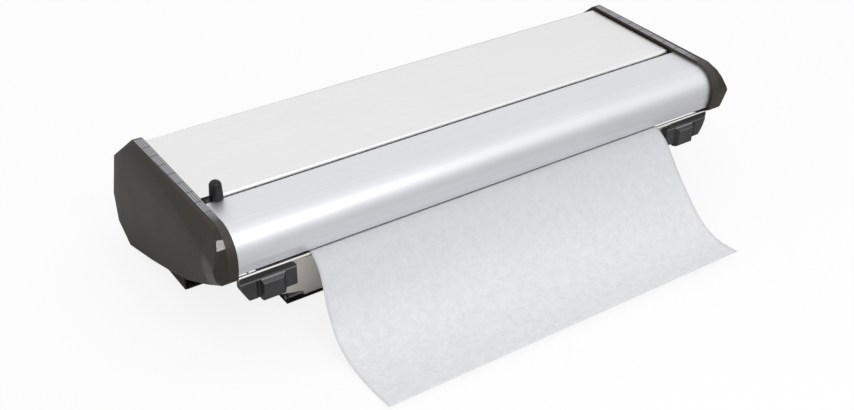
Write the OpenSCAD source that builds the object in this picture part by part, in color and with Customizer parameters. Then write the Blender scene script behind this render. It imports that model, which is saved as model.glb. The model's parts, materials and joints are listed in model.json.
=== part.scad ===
// Kitchen wrap dispenser: a roll of baking paper under a hinged steel lid, an
// aluminium front profile with a slot for the sliding cutter, and a sprung
// steel flap with two grips that holds the paper at the exit gap.
// Every section below is drawn with y measured from the front edge of the slot,
// where the aluminium profile ends (the front is negative), and z up from the table.

/* [Body] */
// Clear width between the two side frames
clear_w = 512; // [440:1:620]
// Height of the flat top face above the table
deck_z = 122; // [116:0.5:150]
// Depth of the lid's flat top behind the slot
deck_d = 119.6; // [112:0.2:140]
// Reach of the aluminium profile in front of the slot
front_reach = 54.9; // [50:0.1:66]
// Reach of the rear panel behind the slot
rear_reach = 172.6; // [165:0.2:200]
// Height of the profile's front wall, from the top face to the paper exit
nose_drop = 37.6; // [35:0.2:42]
// Outer radius of the profile's nose
nose_r = 22; // [16:0.5:26]
// Wall of the aluminium profile
profile_wall = 2; // [1.6:0.1:2.4]
// Thickness of the stainless sheet
sheet = 1.2; // [0.8:0.1:1.5]
// Thickness of the two side frames
frame_t = 1.5; // [1.2:0.1:2]
// Width of the cutter slot
slot_w = 6.2; // [5.4:0.1:7.4]

/* [End caps] */
// How far the caps stand proud of the profile and the lid
rim_proud = 3.3; // [2:0.1:5]
// Width of the flat band on top of each cap, at the rear
rim_w = 8.4; // [7.6:0.2:9]
// Width of the same band where the nose begins
rim_front_w = 5.8; // [5:0.2:7]
// Reach of the cap's rear and lower edge outside the side frame
brim_w = 14.2; // [13.4:0.2:15]
// Reach of the crowned middle of the cap outside the side frame
crown_w = 18.6; // [18:0.2:20]
// Wall of the cap round its hollow
cap_wall = 3; // [2:0.2:4]

/* [Rear lid] */
// Radius of the lid's rolled front edge
lid_roll_r = 3.8; // [3.2:0.1:4.4]
// Gap between the lid and each side frame
lid_side_gap = 2; // [1:0.2:3]
// Radius of the lid's hinge pins
lid_pin_r = 2.5; // [2:0.1:3]
// Length of the notch for the parked knob
notch_len = 17.5; // [16:0.5:22]

/* [Roll] */
// Width of the paper
paper_w = 380; // [300:1:390]
// Outer diameter of the full roll
roll_d = 86; // [60:1:92]
// Outer diameter of the cardboard core
core_d = 52; // [44:1:56]
// Wall of the cardboard core
core_wall = 3; // [2:0.5:4]
// Height of the roll's axis above the table
roll_z = 62; // [58:0.5:68]
// Distance of the roll's axis behind the slot
roll_y = 74.6; // [70:0.2:85]
// Radius of the plugs' stub axles
stub_r = 5; // [4:0.1:6]

/* [Paper web] */
// Reach of the paper's free end in front of the slot
web_reach = 174.4; // [150:0.2:220]
// Thickness of the modelled paper
web_t = 0.5; // [0.4:0.1:0.7]

/* [Flap] */
// Radius of the flap's rolled lip
lip_r = 1.6; // [1.4:0.1:2]
// Height of the exit gap between the profile and the lip
exit_gap = 2.6; // [2.2:0.1:4]
// Radius of the flap's hinge rod
rod_r = 2; // [1.6:0.1:2.5]
// Distance of the tray's front edge in front of the slot
tray_front = 10; // [8:0.2:14]
// Length of each grip
grip_len = 51; // [40:1:56]
// Height of each grip
grip_h = 24.4; // [20:0.2:30]
// How far the grips' blocks stand in front of the grips
grip_block_out = 3.4; // [2:0.2:5]

/* [Cutter] */
// Radius of the knob at its foot
knob_r = 5.9; // [5:0.1:7]
// Height of the knob
knob_h = 16.3; // [14:0.1:22]
// Distance of the parked knob from the side frame
knob_park = 13; // [12:0.5:16]
// Radius of the rail that carries the cutter
rail_r = 3; // [2.5:0.1:4]
// Length of the carriage's bush
bush_len = 22; // [16:1:24]

/* [Feet] */
// Height of the rubber feet
foot_h = 1.5; // [1:0.1:3]
// Radius of the rubber feet
foot_r = 7; // [5:0.5:10]

/* [Hidden] */

// Small sizes that several pieces share
run_gap = 0.05;
fit_gap = 0.02;
seat_gap = 0.3;
frame_inset = 0.2;
over = 1;
half_w = clear_w / 2;
tray_top = foot_h + sheet;
body_d = front_reach + rear_reach;
smooth_n = 48;

// Outline of the body behind and below the profile: shares of its depth and of deck_z
rear_shares = [[0.782, 0.989], [0.931, 0.742], [1, 0.361], [0.987, 0.139], [0.901, 0]];
under_shares = [[0.89, 0.045], [0.677, 0.148], [0.459, 0.279], [0.31, 0.385], [0.138, 0.549], [0.033, 0.672]];
nose_foot_share = 0.77;
nose_tuck = 1.5;

// Corners of the cap's outer facets: shares of the body's depth, of deck_z and of crown_w
edge_shares = [
    [0.741, 1.016, 0.548], [0.111, 1.018, 0.513], [0.072, 0.996, 0.547],
    [0.043, 0.954, 0.61], [0.028, 0.891, 0.709]
];
crown_shares = [
    [0.825, 0.933, 0.682], [0.816, 0.84, 0.828], [0.753, 0.803, 0.883], [0.001, 0.704, 1],
    [0.898, 0.57, 0.92], [0.895, 0.512, 0.934], [0.595, 0.46, 0.984], [0.383, 0.538, 0.992]
];
band_angles = [90, 105, 130, 147, 172];

// Slot, profile and the cutter's rail
flange_h = 9;
port_r = 3.2;
port_bore_r = 1.6;
port_share = 0.44;
foot_in = 4.5;
rail_y = -9.4;
rail_drop = 16;
rail_z = deck_z - rail_drop;
bush_wall = 2.4;
neck_t = 3;
neck_y = slot_w / 2;
neck_tail = 9.3;
neck_nose = 4.6;
neck_low = 0.4;
knob_gap = 0.4;
knob_x = -half_w + knob_park;
knob_shoulder_r = 5.2;
knob_crown_h = 3.9;
knob_crown_shares = [[1, 0], [0.93, 0.36], [0.7, 0.76], [0.42, 0.94], [0, 1]];
tongue_w = 6;
tongue_h = 10;
dimple_r = 1.5;
dimple_d = 0.7;
arm_t = 4;
arm_w = 14;
arm_drop = 34;
blade_y = -44.8;
blade_t = 0.5;
blade_w = 12;
blade_top_drop = 27;
blade_tip_drop = 46;
blade_top_z = deck_z - blade_top_drop;
blade_tip_z = deck_z - blade_tip_drop;
elbow_drop = 20;
blade_screw_r = 1.25;
blade_screw_drop = 30.5;
blade_screw_z = deck_z - blade_screw_drop;

// Lid
ear_r = 6;
lid_pivot_y = deck_d - ear_r;
lid_pivot_z = deck_z - ear_r;
lid_half = half_w - lid_side_gap;
lid_flange_h = 7;
lid_front = slot_w;
notch_d = 9.8;
pin_head_r = 4;
pin_head_t = 1.2;
pin_in = 5;

// Flap, its hinge and its springs
knuckle_r = rod_r + run_gap + sheet;
hinge_y = -tray_front + knuckle_r + seat_gap;
hinge_z = tray_top + knuckle_r + seat_gap;
lip_top_z = deck_z - nose_drop - exit_gap;
lip_y = -front_reach + nose_tuck + lip_r * 0.5;
lip_z = lip_top_z - lip_r;
lip_back = 1;
chamber_gap = 2;
chamber_half = paper_w / 2 + chamber_gap;
flap_side_gap = 1;
flap_half = half_w - flap_side_gap;
flap_step_drop = 98.4;
flap_corner_drop = 109.5;
flap_step_z = deck_z - flap_step_drop;
flap_corner_z = deck_z - flap_corner_drop;
flap_wing_w = 50;
flap_wing_in = 13;
knuckle_inset = 18;
centre_gap = 30;
ear_t = 1.2;
spring_wire_r = 0.45;
spring_turns = 6;
spring_pitch = 1.4;
spring_r = rod_r + seat_gap + spring_wire_r;
spring_leg = 12;
spring_leg_z = 20;
spring_x = 3;

// Grips
grip_x0 = 1.2;
grip_over_lip = 0.3;
grip_front = 1.2;
grip_edge = 0.8;
grip_top = lip_z + grip_over_lip;
grip_low = grip_top - grip_h;
grip_face_y = lip_y - lip_r - grip_edge;
flap_wing_z = grip_low + grip_front;
rib_n = 3;
rib_band = 4.4;
rib_d = 0.5;
rib_share = 0.55;
groove_h = 0.9;
groove_d = 0.8;
grip_shelf = grip_top - rib_band - 2 * groove_h;
grip_curl_r = 37;
valley_r = 3.8;
valley_in = 2.2;
grip_block_low = 2;
grip_block_x = [19.4, 37.2];
grip_block_fade = 3.4;
rivet_r = 1.5;
rivet_head_r = 3;
rivet_head_t = 0.9;
rivet_in = 4;
rivet_shares = [0.2, 0.84];
rivet_drop = 12;

// Tray, brackets and roll plugs
tray_wing_y = 56.6;
tray_back_y = 148.6;
bracket_t = 2;
bracket_gap = 4;
bracket_foot = 22;
bracket_half_d = 17;
bracket_top_half = 9;
bracket_over = 9;
plug_flange_r = 30;
plug_flange_t = 3;
plug_in = 18;
plug_wall = 2.4;
stub_len = 11;
stub_head_r = 7;
stub_head_t = 1.6;
core_proud = 1;
bracket_rivet_r = 2;
foot_in_back = 26;
foot_in_front = 22;
foot_edge = 4;
feet_places = [
    [half_w - foot_in_back, tray_back_y - foot_r - foot_edge],
    [chamber_half - foot_in_front, foot_r + foot_edge - tray_front]
];

// Screws through the side frames
cap_screw_r = 2;
cap_screw_head_r = 4;
cap_screw_head_t = 2.4;
cap_screw_len = 9;
boss_r = 4.6;
cap_screw_shares = [[0.3, 0.62], [0.86, 0.5], [0.62, 0.3]];
port_screw_len = 12;
port_head_r = 3;
port_head_t = 2.2;

// The paper's fall on its left and right edges: shares of its reach past the lip and of the lip's height
web_left_shares = [
    [0.04, 0.975], [0.085, 0.92], [0.125, 0.84], [0.165, 0.68],
    [0.2, 0.51], [0.255, 0.345], [0.33, 0.19], [0.445, 0.09], [0.57, 0.037], [0.76, 0.024], [0.98, 0.05]
];
web_right_shares = [
    [0.055, 0.975], [0.115, 0.92], [0.175, 0.83], [0.25, 0.7],
    [0.325, 0.57], [0.405, 0.45], [0.49, 0.33], [0.59, 0.21], [0.7, 0.125], [0.83, 0.085], [1, 0.1]
];
web_fine = 3;
web_leave = 135;
web_turns = 3;
web_cols = 12;
web_float = seat_gap;

// Points on an arc about c, from angle a0 to a1
function arc(c, r, a0, a1, n) =
    [for (i = [0:n]) let (a = a0 + (a1 - a0) * i / n) c + r * [cos(a), sin(a)]];

function unit(v) = v / norm(v);
function left_of(v) = [-v[1], v[0]];

// Corner of two edges moved sideways by d
function mitre(a, b, c, d) =
    let (n1 = left_of(unit(b - a)), n2 = left_of(unit(c - b)), m = n1 + n2)
    b - d * m / (m * n1);

// Closed outline, drawn anticlockwise, grown outwards by d
function grow(pts, d) =
    let (n = len(pts))
    [for (i = [0:n - 1]) mitre(pts[(i + n - 1) % n], pts[i], pts[(i + 1) % n], d)];

// The open line moved sideways by d
function beside(pts, d) =
    let (n = len(pts), first = left_of(unit(pts[1] - pts[0])), last = left_of(unit(pts[n - 1] - pts[n - 2])))
    concat(
        [pts[0] - d * first],
        [for (i = [1:1:n - 2]) mitre(pts[i - 1], pts[i], pts[i + 1], d)],
        [pts[n - 1] - d * last]
    );

function reversed(pts) = [for (i = [len(pts) - 1:-1:0]) pts[i]];

// Bent sheet of thickness t, drawn along its outer line
function ribbon(pts, t) = concat(pts, reversed(beside(pts, t)));

// Where the tangent from p touches the circle about c; side is 1 or -1
function tangent(p, c, r, side) =
    let (v = c - p, d = norm(v), a = atan2(v[1], v[0]) + side * asin(r / d), l = sqrt(d * d - r * r))
    p + l * [cos(a), sin(a)];

// Smooth curve through the points of a list, k steps to a span
function along(p0, p1, p2, p3, t) =
    0.5 * (2 * p1 + (p2 - p0) * t + (2 * p0 - 5 * p1 + 4 * p2 - p3) * t * t
    + (3 * p1 - p0 - 3 * p2 + p3) * t * t * t);
function smooth(pts, k) =
    let (n = len(pts))
    concat(
        [for (i = [0:n - 2], s = [0:k - 1])
            along(pts[max(i - 1, 0)], pts[i], pts[i + 1], pts[min(i + 2, n - 1)], s / k)],
        [pts[n - 1]]
    );

// Outline of the body, anticlockwise from the top of the rear panel
function body_point(s) = [-front_reach + s[0] * body_d, s[1] * deck_z];
nose_c = [-(front_reach - nose_r), deck_z - nose_r];
rear_line = [for (s = rear_shares) let (p = body_point(s)) [p[0], max(p[1], tray_top)]];
under_line = [for (s = under_shares) body_point(s)];
nose_line = concat(
    arc(nose_c, nose_r, 90, 180, 12),
    [[-front_reach, deck_z - nose_drop * nose_foot_share], [-front_reach + nose_tuck, deck_z - nose_drop]]
);
body_outline = concat(
    [[deck_d, deck_z]],
    nose_line,
    reversed(under_line),
    reversed(rear_line)
);
cap_foot_z = foot_h / 3;
cap_outline = [for (p = grow(body_outline, rim_proud)) [p[0], max(p[1], cap_foot_z)]];
frame_outline = grow(concat(
    [[deck_d, deck_z]],
    nose_line,
    [for (i = [len(under_line) - 1:-1:2]) under_line[i]],
    [[tray_wing_y, under_line[2][1]], [tray_wing_y, foot_h], [tray_back_y, foot_h]],
    [for (i = [3:-1:0]) rear_line[i]]
), -frame_inset);

// The paper, from the roll to its free end
roll_c = [roll_y, roll_z];
lip_c = [lip_y, lip_z];
web_roll_r = roll_d / 2 + seat_gap + web_t / 2;
web_lip_r = lip_r + seat_gap + web_t / 2;
web_lean = atan2(roll_z - lip_z, roll_y - lip_y) - asin((web_roll_r + web_lip_r) / norm(roll_c - lip_c));
web_start = roll_c + web_roll_r * [sin(web_lean), -cos(web_lean)];
web_over = arc(lip_c, web_lip_r, 90 + web_lean, web_leave, web_turns);
web_span = web_reach + lip_y;
function web_fall(shares) = smooth(concat([web_over[web_turns]], [for (s = shares)
    [lip_y - s[0] * web_span, max(s[1] * lip_top_z, web_float + web_t / 2)]]), web_fine);
function web_line(shares) = concat([web_start], [for (i = [0:web_turns - 1]) web_over[i]], web_fall(shares));
web_left = web_line(web_left_shares);
web_right = web_line(web_right_shares);

// Place of the slot, so that the whole object is centred over the origin
rear_most = max([for (p = cap_outline) p[0]]);
front_most = min([for (p = concat(beside(web_left, web_t / 2), beside(web_right, web_t / 2),
    beside(web_left, -web_t / 2), beside(web_right, -web_t / 2))) p[0]]);
slot_y = -(rear_most + front_most) / 2;

// Flap's outer line, from the lip down to its knuckle
flap_top = [lip_y + lip_back, lip_z];
flap_foot = tangent(flap_top, [hinge_y, hinge_z], knuckle_r, -1);
flap_slope = (flap_foot[0] - flap_top[0]) / (flap_foot[1] - flap_top[1]);
flap_run = unit(flap_foot - flap_top);
flap_lean = atan2(flap_run[0], -flap_run[1]);
function flap_y(z) = flap_top[0] + (z - flap_top[1]) * flap_slope;

module placed() {
    translate([0, slot_y, 0]) children();
}

// A section drawn in y and z, from x0 to x1
module span(x0, x1) {
    translate([x0, 0, 0]) rotate([90, 0, 90]) linear_extrude(x1 - x0) children();
}

// A round bar along x at [y, z]
module bar(x0, x1, at, r) {
    translate([x0, at[0], at[1]]) rotate([0, 90, 0]) cylinder(h = x1 - x0, r = r, $fn = smooth_n);
}

// The same piece at the other end
module at_right() {
    mirror([1, 0, 0]) children();
}

module both_ends() {
    children();
    mirror([1, 0, 0]) children();
}

port_places = [
    [-front_reach * port_share, deck_z - profile_wall - port_r + fit_gap],
    [-front_reach + profile_wall + port_r - fit_gap, deck_z - nose_drop * 0.7]
];
cap_screw_places = [for (s = cap_screw_shares) body_point(s)];

// Left cap: flat band, chamfer and crowned face, hollowed from inside
function cap_point(s) = let (p = body_point(s)) [-half_w - s[2] * crown_w, p[0], p[1]];

module end_cap_left() {
    turn = band_angles[len(band_angles) - 1] - band_angles[0];
    nose_band = [for (a = band_angles) let (
        w = rim_front_w + (rim_w - rim_front_w) * (a - band_angles[0]) / turn,
        p = nose_c + (nose_r + rim_proud) * [cos(a), sin(a)]
    ) [-half_w - w, p[0], p[1]]];
    rear_band = [for (p = cap_outline) if (p[1] > deck_z && p[0] > 0) [-half_w - rim_w, p[0], p[1]]];
    brim = [for (p = cap_outline) let (low = p[0] > deck_d ? deck_z : deck_z - nose_drop)
        if (p[1] < low) [-half_w - brim_w, p[0], p[1]]];
    corners = [for (s = concat(edge_shares, crown_shares)) cap_point(s)];
    difference() {
        hull() {
            span(-half_w - frame_t, -half_w)
                polygon(cap_outline);
            for (p = concat(nose_band, rear_band, brim, corners)) translate(p) cube(fit_gap);
        }
        span(-half_w - frame_t, -half_w + over) polygon(grow(frame_outline, seat_gap));
        difference() {
            span(-half_w - rim_w, -half_w) polygon(grow(body_outline, -cap_wall));
            for (p = cap_screw_places) bar(-half_w - rim_w - over, -half_w - frame_t, p, boss_r);
            bar(-half_w - rim_w - over, -half_w - frame_t, [lid_pivot_y, lid_pivot_z], pin_head_r + cap_wall);
        }
        for (p = cap_screw_places)
            bar(-half_w - cap_screw_len, -half_w, p, cap_screw_r + fit_gap);
        bar(-half_w - frame_t - pin_in, -half_w, [lid_pivot_y, lid_pivot_z], lid_pin_r + fit_gap);
        for (p = port_places)
            bar(-half_w - frame_t - port_head_t - seat_gap, -half_w, p, port_head_r + seat_gap);
    }
}

module left_end_cap() {
    color([0.25, 0.23, 0.21]) placed() end_cap_left();
}

module right_end_cap() {
    color([0.25, 0.23, 0.21]) placed() at_right() end_cap_left();
}

// Left side frame: the plate between the cap and the body
module side_frame_left() {
    difference() {
        span(-half_w - frame_t, -half_w) polygon(frame_outline);
        bar(-half_w - frame_t - over, -half_w + over, [rail_y, rail_z], rail_r + fit_gap);
        bar(-half_w - frame_t - over, -half_w + over, [lid_pivot_y, lid_pivot_z], lid_pin_r + fit_gap);
        for (p = port_places)
            bar(-half_w - frame_t - over, -half_w + over, p, port_bore_r + fit_gap);
        for (p = cap_screw_places)
            bar(-half_w - frame_t - over, -half_w + over, p, cap_screw_r + run_gap);
    }
}

module left_side_frame() {
    color([0.2, 0.17, 0.14]) placed() side_frame_left();
}

module right_side_frame() {
    color([0.2, 0.17, 0.14]) placed() at_right() side_frame_left();
}

// Aluminium profile: slot flange, flat top, round nose, front wall and foot
module front_profile() {
    front = -front_reach + profile_wall;
    foot_z = deck_z - nose_drop;
    wall_z = deck_z - nose_drop * nose_foot_share;
    top = [
        [0, deck_z - flange_h], [0, deck_z], [nose_c[0], deck_z], [nose_c[0], deck_z - profile_wall],
        [-profile_wall, deck_z - profile_wall], [-profile_wall, deck_z - flange_h]
    ];
    front_wall = [
        [-front_reach, nose_c[1]], [-front_reach, wall_z], [-front_reach + nose_tuck, foot_z],
        [front + nose_tuck + foot_in, foot_z], [front + nose_tuck + foot_in, foot_z + profile_wall],
        [front + nose_tuck, foot_z + profile_wall], [front, wall_z], [front, nose_c[1]]
    ];
    color([0.86, 0.87, 0.88]) placed() difference() {
        union() {
            span(-half_w, half_w) polygon(top);
            span(-half_w, half_w) polygon(front_wall);
            difference() {
                bar(-half_w, half_w, nose_c, nose_r);
                bar(-half_w - over, half_w + over, nose_c, nose_r - profile_wall);
                translate([-half_w - over, -front_reach - over, 0])
                    cube([clear_w + 2 * over, body_d, nose_c[1]]);
                translate([-half_w - over, nose_c[0], 0])
                    cube([clear_w + 2 * over, body_d, deck_z + over]);
            }
            for (p = port_places) bar(-half_w, half_w, p, port_r);
        }
        for (p = port_places) bar(-half_w - over, half_w + over, p, port_bore_r);
    }
}

// Screws from the side frames into the profile's ports
module profile_screws() {
    color([0.6, 0.6, 0.6]) placed() both_ends() for (p = port_places) {
        bar(-half_w - frame_t, -half_w + port_screw_len, p, port_bore_r - run_gap);
        bar(-half_w - frame_t - port_head_t, -half_w - frame_t, p, port_head_r);
    }
}

// Screws from inside, through the side frames into the caps' bosses
module cap_screws() {
    color([0.6, 0.6, 0.6]) placed() both_ends() for (p = cap_screw_places) {
        bar(-half_w - cap_screw_len + seat_gap, -half_w, p, cap_screw_r);
        bar(-half_w, -half_w + cap_screw_head_t, p, cap_screw_head_r);
    }
}

// Bent rear wall, with its foot on the tray
module rear_panel() {
    foot = [tray_back_y - foot_in * 2, tray_top];
    color([0.8, 0.8, 0.79]) placed()
        span(-half_w, half_w) polygon(ribbon(concat([foot], reversed(rear_line)), -sheet));
}

// Floor of the roll chamber, with the ears for the flap's hinge rod
module base_tray() {
    ear_y = tray_front - sheet;
    color([0.2, 0.17, 0.14]) placed() {
        difference() {
            union() {
                translate([-half_w, tray_wing_y, foot_h]) cube([clear_w, tray_back_y - tray_wing_y, sheet]);
                translate([-chamber_half, -tray_front, foot_h])
                    cube([2 * chamber_half, tray_front + tray_wing_y, sheet]);
                for (x = [-chamber_half + ear_t, -ear_t / 2, chamber_half - 2 * ear_t])
                    span(x, x + ear_t) union() {
                        translate([hinge_y, hinge_z]) circle(r = knuckle_r, $fn = smooth_n);
                        translate([hinge_y - knuckle_r, foot_h]) square([2 * knuckle_r, hinge_z - foot_h]);
                        translate([hinge_y, foot_h]) square([ear_y, sheet * 2]);
                    }
            }
            bar(-chamber_half - over, chamber_half + over, [hinge_y, hinge_z], rod_r + fit_gap);
            both_ends() for (y = bracket_rivet_ys)
                translate([-bracket_rivet_x, y, foot_h - over])
                    cylinder(h = sheet + 2 * over, r = bracket_rivet_r + fit_gap, $fn = smooth_n);
        }
    }
}

module rubber_feet() {
    color([0.1, 0.1, 0.1]) placed() both_ends() for (p = feet_places)
        translate([-p[0], p[1], 0]) cylinder(h = foot_h, r = foot_r, $fn = smooth_n);
}

// Lid: flat top, rolled front edge, end flanges with the hinge ears
module rear_lid() {
    roll_at = [lid_front + lid_roll_r, deck_z - lid_roll_r];
    flange_y = roll_at[0] + lid_roll_r;
    roll_in_r = lid_roll_r - sheet;
    color([0.9, 0.9, 0.89]) placed() difference() {
        union() {
            translate([-lid_half, roll_at[0], deck_z - sheet])
                cube([2 * lid_half, deck_d - roll_at[0], sheet]);
            difference() {
                bar(-lid_half, lid_half, roll_at, lid_roll_r);
                bar(-lid_half - over, lid_half + over, roll_at, roll_in_r);
                translate([-half_w, roll_at[0], roll_at[1] - lid_roll_r - over])
                    cube([clear_w, lid_roll_r + over, 2 * lid_roll_r + 2 * over]);
            }
            both_ends() span(-lid_half, -lid_half + sheet) union() {
                translate([flange_y, deck_z - lid_flange_h]) square([lid_pivot_y - flange_y, lid_flange_h]);
                translate([lid_pivot_y, lid_pivot_z]) circle(r = ear_r, $fn = smooth_n);
            }
        }
        bar(-half_w, half_w, [lid_pivot_y, lid_pivot_z], lid_pin_r + run_gap);
        translate([-half_w, lid_front - over, deck_z - 2 * lid_roll_r - over])
            cube([lid_side_gap + notch_len, notch_d - lid_front + over, 2 * lid_roll_r + 2 * over]);
    }
}

// Pins fixed in the caps, which carry the lid's ears
module lid_hinge_pins() {
    at = [lid_pivot_y, lid_pivot_z];
    color([0.7, 0.7, 0.7]) placed() both_ends() {
        bar(-half_w - frame_t - pin_in + seat_gap, -lid_half + sheet + seat_gap, at, lid_pin_r);
        bar(-lid_half + sheet + seat_gap, -lid_half + sheet + seat_gap + pin_head_t, at, pin_head_r);
    }
}

// Round rail under the slot, from frame to frame
module cutter_rail() {
    color([0.8, 0.8, 0.8]) placed() bar(-half_w - frame_t, half_w + frame_t, [rail_y, rail_z], rail_r);
}

// Carriage: neck through the slot, bush on the rail and arm down to the exit gap
module cutter_carriage() {
    bush_r = rail_r + run_gap + bush_wall;
    neck_foot = rail_z - bush_r + arm_t / 2;
    elbow = [blade_y + arm_t * 1.4, deck_z - elbow_drop];
    heel = [blade_y + blade_t / 2, deck_z - arm_drop];
    arm = [[rail_y, rail_z - arm_t / 2], elbow, [heel[0], elbow[1] - arm_t], heel];
    color([0.13, 0.13, 0.14]) placed() difference() {
        union() {
            translate([knob_x - neck_tail, neck_y - neck_t / 2, neck_foot])
                cube([neck_tail + neck_nose, neck_t, deck_z - neck_low - neck_foot]);
            translate([knob_x - tongue_w / 2, neck_y - neck_t / 2, neck_foot])
                cube([tongue_w, neck_t, deck_z + knob_gap + tongue_h - neck_foot]);
            bar(knob_x - bush_len / 2, knob_x + bush_len / 2, [rail_y, rail_z], bush_r);
            translate([knob_x - neck_tail, rail_y, neck_foot])
                cube([neck_tail + neck_nose, neck_y + neck_t / 2 - rail_y, arm_t]);
            span(knob_x - arm_w / 2, knob_x + arm_w / 2) polygon(ribbon(arm, -arm_t));
        }
        bar(knob_x - bush_len, knob_x + bush_len, [rail_y, rail_z], rail_r + run_gap);
        translate([knob_x, blade_y - over, blade_screw_z]) rotate([-90, 0, 0])
            cylinder(h = arm_t + 2 * over, r = blade_screw_r + fit_gap, $fn = smooth_n);
    }
}

// Arrow-shaped blade that cuts both ways
module cutter_blade() {
    h = blade_top_z - blade_tip_z;
    shoulder = 0.42;
    color([0.85, 0.86, 0.88]) placed() difference() {
        translate([knob_x, blade_y + blade_t / 2, blade_tip_z]) rotate([90, 0, 0]) linear_extrude(blade_t)
            polygon([[0, 0], [blade_w / 2, h * shoulder], [blade_w / 2, h], [-blade_w / 2, h],
                [-blade_w / 2, h * shoulder]]);
        translate([knob_x, blade_y - over, blade_screw_z]) rotate([-90, 0, 0])
            cylinder(h = 2 * over, r = blade_screw_r + fit_gap, $fn = smooth_n);
    }
}

module blade_screw() {
    head_r = 2.4;
    head_t = 1.1;
    color([0.6, 0.6, 0.6]) placed() translate([knob_x, blade_y - blade_t / 2, blade_screw_z])
        rotate([-90, 0, 0]) {
            cylinder(h = arm_t, r = blade_screw_r, $fn = smooth_n);
            translate([0, 0, -head_t]) cylinder(h = head_t, r = head_r, $fn = smooth_n);
        }
}

// Tapered knob with a rounded top and a small dimple, pressed on the carriage's tongue
module slider_knob() {
    wall_h = knob_h - knob_crown_h;
    ball_r = (dimple_r * dimple_r + dimple_d * dimple_d) / (2 * dimple_d);
    crown = smooth([for (s = knob_crown_shares) [s[0] * knob_shoulder_r, wall_h + s[1] * knob_crown_h]], 3);
    color([0.2, 0.2, 0.21]) placed() translate([knob_x, neck_y, deck_z + knob_gap]) difference() {
        rotate_extrude($fn = smooth_n)
            polygon(concat([[0, 0], [knob_r - seat_gap, 0], [knob_r, seat_gap]], crown));
        translate([0, 0, knob_h - dimple_d + ball_r]) sphere(r = ball_r, $fn = smooth_n);
        translate([-tongue_w / 2 - fit_gap, -neck_t / 2 - fit_gap, -over])
            cube([tongue_w + 2 * fit_gap, neck_t + 2 * fit_gap, tongue_h + fit_gap + over]);
    }
}

// Flap: rolled lip, sloping plate, knuckles round the hinge rod
module front_flap() {
    x_in = chamber_half;
    wing_top = lip_z - lip_r;
    outline = [
        [-flap_half, deck_z], [-flap_half, wing_top], [-half_w + grip_x0 + lip_r * 2, wing_top - lip_r * 2],
        [-half_w + flap_wing_in, flap_wing_z], [-half_w + flap_wing_w, flap_wing_z],
        [-half_w + flap_wing_w, flap_step_z], [-x_in + knuckle_inset - sheet * 3, flap_corner_z],
        [-x_in + knuckle_inset, flap_foot[1] + sheet], [-x_in + knuckle_inset, 0], [0, 0], [0, deck_z]
    ];
    knuckle = [[-x_in + knuckle_inset, -centre_gap / 2], [centre_gap / 2, x_in - knuckle_inset]];
    color([0.62, 0.61, 0.58]) placed() difference() {
        union() {
            intersection() {
                span(-flap_half, flap_half) union() {
                    polygon(ribbon([flap_top, flap_foot], -sheet));
                    translate([lip_y, lip_z]) circle(r = lip_r, $fn = smooth_n);
                }
                both_ends() translate([0, hinge_y, 0]) rotate([90, 0, 0])
                    linear_extrude(front_reach) polygon(outline);
            }
            for (k = knuckle) bar(k[0], k[1], [hinge_y, hinge_z], knuckle_r);
        }
        bar(-half_w, half_w, [hinge_y, hinge_z], rod_r + run_gap);
        span(-centre_gap / 2, centre_gap / 2)
            translate([hinge_y - knuckle_r - sheet, 0])
                square([2 * knuckle_r + sheet, hinge_z + knuckle_r]);
        grip_rivet_places()
            cylinder(h = 2 * sheet + 2 * over, r = rivet_r + run_gap, center = true, $fn = smooth_n);
    }
}

// Each grip's rivets stand square to the flap, with z out of its front
module grip_rivet_places() {
    z = lip_z - rivet_drop;
    both_ends() for (s = rivet_shares)
        translate([-half_w + grip_x0 + s * grip_len, flap_y(z), z])
            rotate([90 + flap_lean, 0, 0]) children();
}

module grip_rivets() {
    color([0.6, 0.6, 0.6]) placed() grip_rivet_places() {
        translate([0, 0, -sheet]) cylinder(h = sheet + rivet_in, r = rivet_r, $fn = smooth_n);
        translate([0, 0, -sheet - rivet_head_t]) cylinder(h = rivet_head_t, r = rivet_head_r, $fn = smooth_n);
    }
}

module flap_hinge_rod() {
    color([0.6, 0.6, 0.6]) placed() bar(-chamber_half, chamber_half, [hinge_y, hinge_z], rod_r);
}

// Round wire along a path that stays near a plane across x
function sweep_points(path, r, sides) = [for (i = [0:len(path) - 1])
    let (
        t = unit(path[min(i + 1, len(path) - 1)] - path[max(i - 1, 0)]),
        n1 = unit([1, 0, 0] - t[0] * t),
        n2 = cross(t, n1)
    )
    for (k = [0:sides - 1]) path[i] + r * (cos(360 * k / sides) * n1 + sin(360 * k / sides) * n2)];

module wire(path, r, sides) {
    n = len(path);
    polyhedron(
        points = sweep_points(path, r, sides),
        faces = concat(
            [[for (k = [0:sides - 1]) k]],
            [[for (k = [sides - 1:-1:0]) (n - 1) * sides + k]],
            [for (i = [0:n - 2], k = [0:sides - 1]) let (a = i * sides + k, b = i * sides + (k + 1) % sides)
                [a, a + sides, b + sides, b]]
        )
    );
}

// Torsion springs on the hinge rod: one leg on the tray, the other behind the flap
module flap_springs() {
    rest = [flap_y(spring_leg_z) + sheet / cos(flap_lean) + spring_wire_r + seat_gap, spring_leg_z];
    touch = tangent(rest, [hinge_y, hinge_z], spring_r, 1);
    end_a = atan2(touch[1] - hinge_z, touch[0] - hinge_y);
    turn = 360 * spring_turns + end_a + 90;
    steps = spring_turns * 10;
    x0 = -spring_x - spring_turns * spring_pitch;
    coil = [for (i = [0:steps])
        let (a = -90 + turn * i / steps, x = x0 + spring_pitch * spring_turns * i / steps)
        [x, hinge_y + spring_r * cos(a), hinge_z + spring_r * sin(a)]];
    path = concat(
        [[x0, hinge_y + spring_leg, coil[0][2]]],
        coil,
        [[coil[steps][0], rest[0], rest[1]]]
    );
    color([0.55, 0.55, 0.55]) placed() both_ends() wire(path, spring_wire_r, 6);
}

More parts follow.
